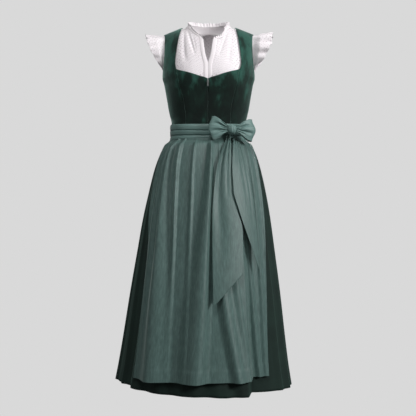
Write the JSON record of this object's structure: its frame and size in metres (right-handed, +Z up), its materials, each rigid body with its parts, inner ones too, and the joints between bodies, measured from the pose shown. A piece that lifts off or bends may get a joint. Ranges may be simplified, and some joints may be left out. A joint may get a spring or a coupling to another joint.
{
  "type": "dirndl dress set",
  "caption": "Worn-form dirndl set: white eyelet blouse, velvet zip bodice with long gathered skirt, and a sage apron tied in a bow at the wearer's left.",
  "frame": {"origin": "between the shoulders, level with the straps' tops, where the set is carried when worn", "axes": "+X towards the wearer's left, -Y towards the front, +Z up"},
  "size_m": [0.6008, 0.5177, 1.2609],
  "materials": {
    "blouse": "matte eyelet cotton",
    "velvet": "cotton velvet with a soft sheen",
    "skirt": "matte dense twill",
    "apron": "slubbed satin-linen with a soft sheen",
    "zip_tape": "woven tape with closed teeth",
    "zip_metal": "nickel-plated zinc"
  },
  "bodies": {
    "garment": {"blouse_back": "blouse", "blouse_collar": "blouse", "blouse_collar_ruffle": "blouse", "blouse_front_left": "blouse", "blouse_front_right": "blouse", "blouse_placket_left": "blouse", "blouse_placket_right": "blouse", "sleeve_left": "blouse", "sleeve_right": "blouse", "bodice_back": "velvet", "bodice_front_left": "velvet", "bodice_front_right": "velvet", "bodice_side_back_left": "velvet", "bodice_side_back_right": "velvet", "bodice_side_front_left": "velvet", "bodice_side_front_right": "velvet", "skirt_front": "skirt", "skirt_back": "skirt", "apron_band": "apron", "apron_panel": "apron", "apron_tie_back": "apron", "bow_knot": "apron", "bow_loop_left": "apron", "bow_loop_right": "apron", "bow_tail_left": "apron", "bow_tail_right": "apron", "zip_tape": "zip_tape", "zip_slider": "zip_metal"},
    "pull": {"zip_pull": "zip_metal"}
  },
  "joints": [
    {"name": "zip_pull_hinge", "type": "hinge", "parent": "garment", "child": "pull", "pos_m": [0, -0.1219, -0.195], "axis": [-1, 0, 0], "range_deg": [0, 150]}
  ]
}
